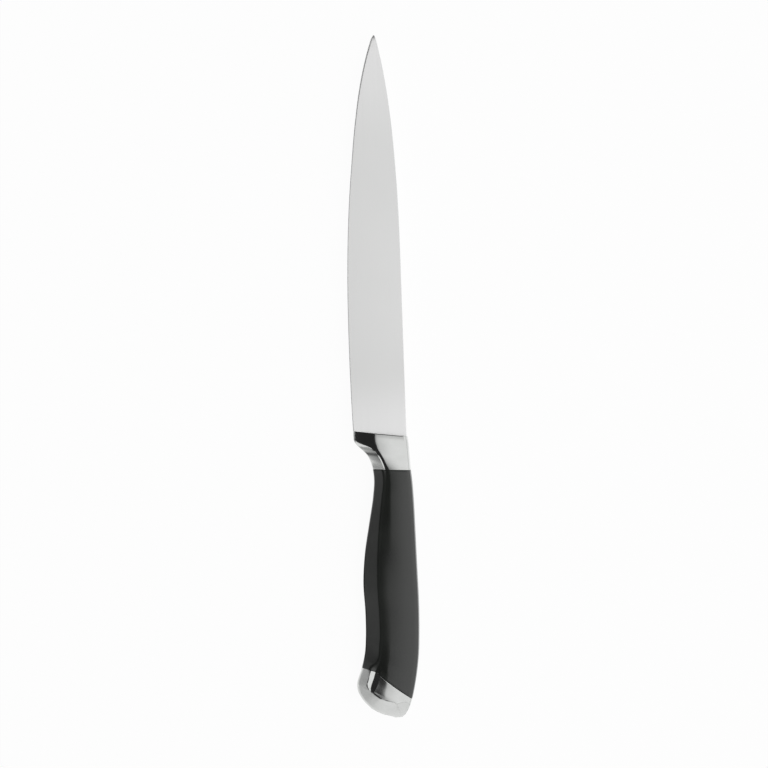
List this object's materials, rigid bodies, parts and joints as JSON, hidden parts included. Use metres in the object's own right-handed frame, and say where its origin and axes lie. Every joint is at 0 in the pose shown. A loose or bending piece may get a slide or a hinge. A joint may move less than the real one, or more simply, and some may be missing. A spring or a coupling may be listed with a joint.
{
  "type": "carving knife",
  "caption": "Slender pointed carving knife with a flat-ground blade, polished bolster with finger notch, black contoured grip and hooked steel end cap.",
  "frame": {"origin": "bottom centre of the overall box, with the knife lying on its side", "axes": "+Y towards the blade's tip, +X towards the spine, +Z through the thickness, out of the side that faces up"},
  "size_m": [0.0328, 0.3456, 0.0169],
  "materials": {
    "blade_steel": "fine lengthwise satin grind",
    "polished_steel": "polished",
    "grip_polymer": "satin moulded black",
    "pin_steel": "plain turned"
  },
  "bodies": {
    "root": {"blade": "blade_steel", "bolster": "polished_steel", "handle_left": "grip_polymer", "handle_right": "grip_polymer", "tang_dowels": "pin_steel", "end_cap": "polished_steel", "cap_pin": "pin_steel"}
  },
  "joints": []
}
